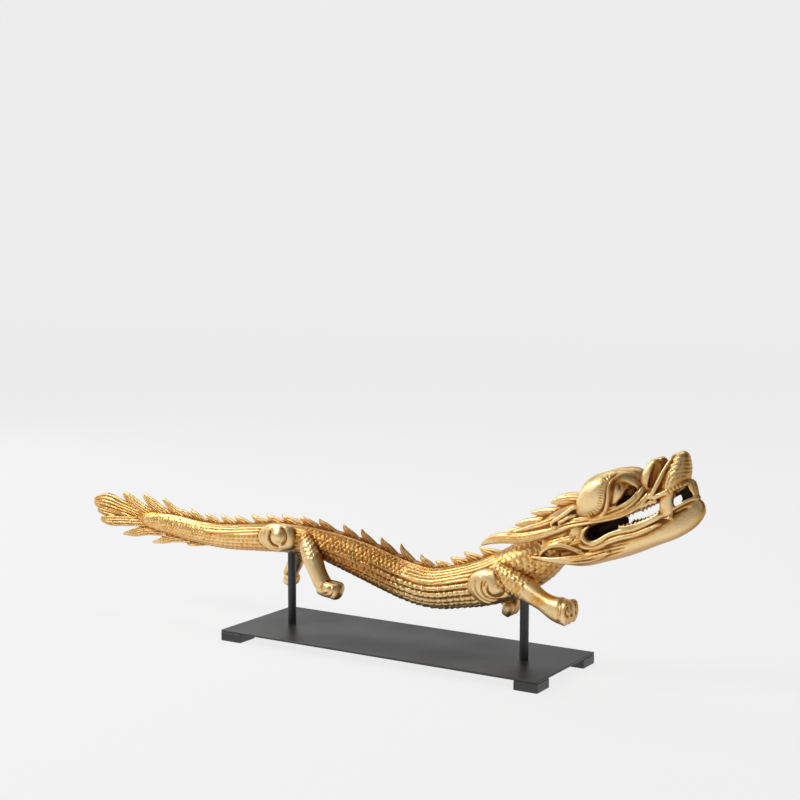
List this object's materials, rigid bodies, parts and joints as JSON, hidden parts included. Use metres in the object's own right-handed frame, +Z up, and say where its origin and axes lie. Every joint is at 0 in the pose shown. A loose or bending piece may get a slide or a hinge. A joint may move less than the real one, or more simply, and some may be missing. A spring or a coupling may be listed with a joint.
{
  "type": "carved dragon sculpture on a stand",
  "caption": "Long gilt carved dragon with raised, open-mouthed head, scaled wavy body and leafy tail, held on round rods over a flat black steel base on square feet.",
  "frame": {"origin": "middle of the whole part's outline seen from above, on the floor under the feet", "axes": "+X runs along the dragon towards its head, -Y is the viewer's side, +Z is up"},
  "size_m": [0.998, 0.172, 0.3085],
  "materials": {
    "gilt_wood": "gilt",
    "black_steel": "satin"
  },
  "bodies": {
    "root": {"dragon": "gilt_wood", "base_plate": "black_steel", "rod_rear": "black_steel", "rod_front": "black_steel", "foot_tail_near": "black_steel", "foot_tail_far": "black_steel", "foot_head_near": "black_steel", "foot_head_far": "black_steel"}
  },
  "joints": []
}
